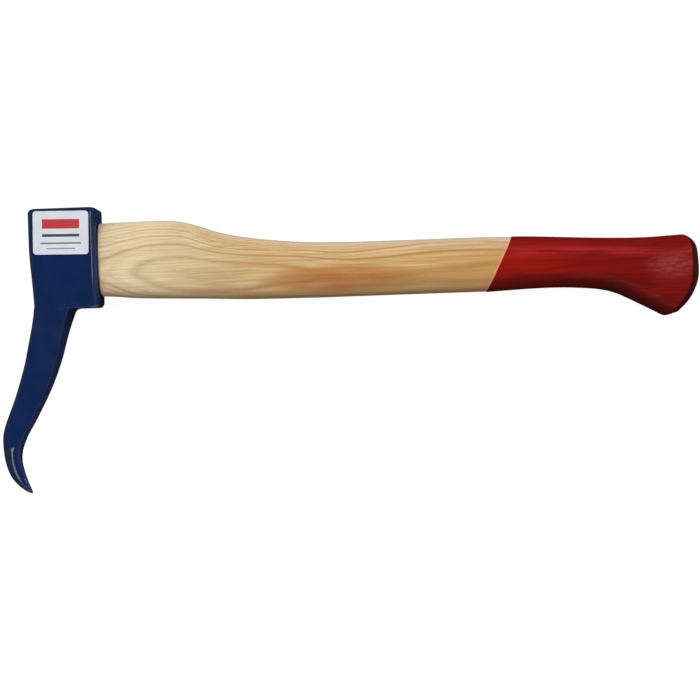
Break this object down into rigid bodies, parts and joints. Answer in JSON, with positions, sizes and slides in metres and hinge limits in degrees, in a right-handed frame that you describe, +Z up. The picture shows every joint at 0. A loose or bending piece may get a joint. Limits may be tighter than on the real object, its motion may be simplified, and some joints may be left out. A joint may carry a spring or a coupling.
{
  "type": "pickaroon",
  "caption": "Short-handled pickaroon: forged steel head with a hooked beak, wedged on a curved ash handle with a lacquered grip, for turning and dragging timber.",
  "frame": {"origin": "on the rear cheek of the head, under the centre of the eye", "axes": "+X along the eye from the head to the grip, +Y towards the flat poll and away from the beak, +Z up through the head's thickness, from the rear cheek to the labelled cheek"},
  "size_m": [0.4221, 0.1704, 0.0282],
  "materials": {
    "blue_paint": "gloss dip paint over forged steel",
    "ash": "sanded ash under clear varnish",
    "wedge_wood": "sawn end grain, bare",
    "bare_steel": "ground, lightly tarnished",
    "label_foil": "satin printed foil",
    "red_lacquer": "gloss dip lacquer, grain showing through"
  },
  "bodies": {
    "root": {"head": "blue_paint", "handle": "ash", "handle_wedge": "wedge_wood", "ring_wedge": "bare_steel", "label": "label_foil", "grip_lacquer": "red_lacquer"}
  },
  "joints": []
}
